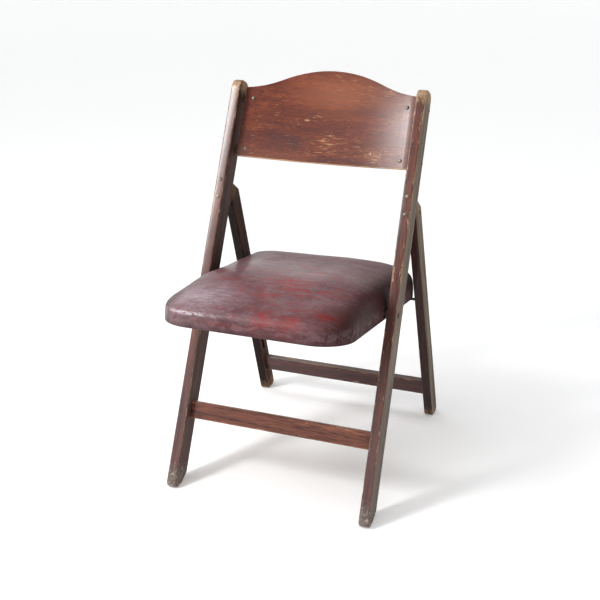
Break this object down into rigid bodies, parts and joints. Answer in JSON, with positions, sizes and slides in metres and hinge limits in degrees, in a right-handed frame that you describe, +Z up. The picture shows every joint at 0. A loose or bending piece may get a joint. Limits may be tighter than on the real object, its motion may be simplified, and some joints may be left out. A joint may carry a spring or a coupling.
{
  "type": "folding chair",
  "caption": "Wooden A-frame folding chair with a padded leathercloth seat and a curved plywood back panel, standing open.",
  "frame": {"origin": "on the floor, under the middle of the open chair's bounding box", "axes": "+Z up, the sitter faces -Y, +X is the sitter's left"},
  "size_m": [0.4538, 0.6165, 0.8361],
  "materials": {
    "stained_timber": "dark reddish-brown stain and worn lacquer",
    "stained_plywood": "reddish-brown stained plywood, worn lacquer",
    "bare_timber": "plain sawn timber, unfinished",
    "leathercloth": "oxblood leathercloth, faded and finely cracked",
    "dull_steel": "dull plated steel",
    "blackened_steel": "darkened steel"
  },
  "bodies": {
    "front_frame": {"left_post": "stained_timber", "right_post": "stained_timber", "front_stretcher": "stained_timber", "back_panel": "stained_plywood", "left_upper_panel_bracket": "dull_steel", "left_upper_panel_rivet": "dull_steel", "left_upper_post_rivet": "dull_steel", "left_lower_panel_bracket": "dull_steel", "left_lower_panel_rivet": "dull_steel", "left_lower_post_rivet": "dull_steel", "left_hinge_plate": "dull_steel", "left_lower_hinge_rivet": "dull_steel", "left_upper_hinge_rivet": "dull_steel", "left_hinge_pin": "blackened_steel", "right_upper_panel_bracket": "dull_steel", "right_upper_panel_rivet": "dull_steel", "right_upper_post_rivet": "dull_steel", "right_lower_panel_bracket": "dull_steel", "right_lower_panel_rivet": "dull_steel", "right_lower_post_rivet": "dull_steel", "right_hinge_plate": "dull_steel", "right_lower_hinge_rivet": "dull_steel", "right_upper_hinge_rivet": "dull_steel", "right_hinge_pin": "blackened_steel"},
    "rear_frame": {"left_rear_leg": "stained_timber", "right_rear_leg": "stained_timber", "rear_stretcher": "stained_timber"},
    "seat": {"seat_front_rail": "bare_timber", "seat_rear_rail": "bare_timber", "left_seat_rail": "bare_timber", "right_seat_rail": "bare_timber", "seat_deck": "bare_timber", "seat_cushion": "leathercloth", "rear_rod": "dull_steel", "left_pivot_bolt": "blackened_steel", "left_pivot_spacer": "dull_steel", "left_rod_clip": "dull_steel", "left_front_clip_screw": "dull_steel", "left_rear_clip_screw": "dull_steel", "right_pivot_bolt": "blackened_steel", "right_pivot_spacer": "dull_steel", "right_rod_clip": "dull_steel", "right_front_clip_screw": "dull_steel", "right_rear_clip_screw": "dull_steel"}
  },
  "joints": [
    {"name": "leg_fold", "type": "hinge", "parent": "front_frame", "child": "rear_frame", "pos_m": [0, 0.11376, 0.55809], "axis": [-1, 0, 0], "range_deg": [0, 44]},
    {"name": "seat_fold", "type": "hinge", "parent": "front_frame", "child": "seat", "pos_m": [0, -0.04193, 0.38146], "axis": [-1, 0, 0], "range_deg": [0, 89]}
  ],
  "couplings": [
    {"joint": "seat_fold", "follows": "leg_fold", "ratio": 2.02}
  ]
}
